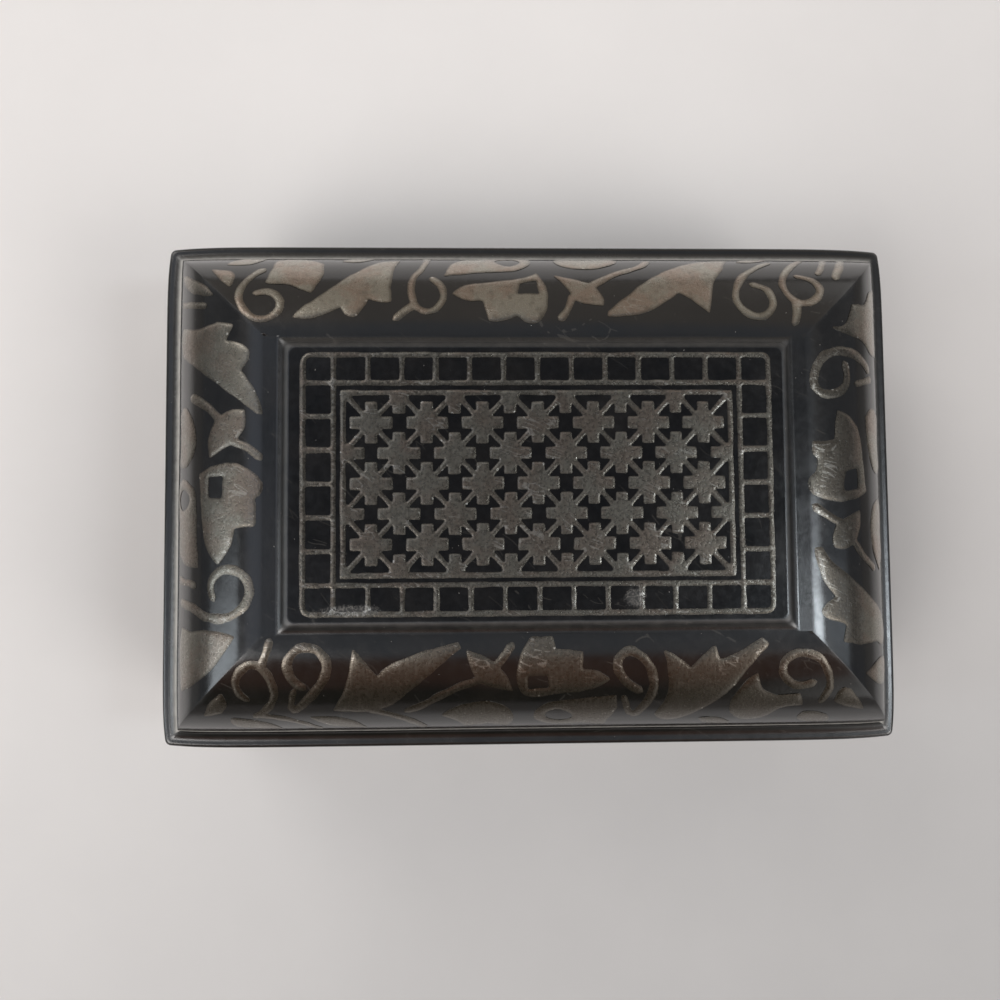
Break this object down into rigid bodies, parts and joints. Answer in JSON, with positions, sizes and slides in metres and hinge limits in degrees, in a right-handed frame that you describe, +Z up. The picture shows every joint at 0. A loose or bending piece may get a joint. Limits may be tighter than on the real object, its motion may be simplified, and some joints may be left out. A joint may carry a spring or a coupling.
{
  "type": "trinket box",
  "caption": "Small rectangular lift-off-lid box of blackened cast alloy with a raised panel, rounded slopes and flush silver inlay of stars, ladder border and leafy vine.",
  "frame": {"origin": "middle of the underside of the base plate", "axes": "+Z up, +X along the long side to the right as seen from the front, +Y to the back"},
  "size_m": [0.0824, 0.0566, 0.0352],
  "materials": {
    "lid_black": "blackened, semi-gloss",
    "body_black": "blackened, satin",
    "silver_sheet": "dull, scratched",
    "silver_wire": "dull, scratched"
  },
  "bodies": {
    "base": {"body_walls": "body_black", "base_plate": "body_black", "locating_lip": "body_black", "wall_leaves_front": "silver_sheet", "wall_leaves_back": "silver_sheet", "wall_leaves_left": "silver_sheet", "wall_leaves_right": "silver_sheet", "wall_tendrils_front": "silver_wire", "wall_tendrils_back": "silver_wire", "wall_tendrils_left": "silver_wire", "wall_tendrils_right": "silver_wire"},
    "lid": {"lid_casting": "lid_black", "panel_outer_wire": "silver_wire", "panel_inner_wire": "silver_wire", "panel_rungs": "silver_wire", "lattice_frame": "silver_wire", "lattice_stars": "silver_sheet", "lattice_cross_wires": "silver_wire", "slope_leaves_front": "silver_sheet", "slope_leaves_back": "silver_sheet", "slope_leaves_left": "silver_sheet", "slope_leaves_right": "silver_sheet", "slope_tendrils_front": "silver_wire", "slope_tendrils_back": "silver_wire", "slope_tendrils_left": "silver_wire", "slope_tendrils_right": "silver_wire"}
  },
  "joints": [
    {"name": "lid_lift", "type": "slide", "parent": "base", "child": "lid", "axis": [0, 0, 1], "range_m": [0, 0.06]}
  ]
}
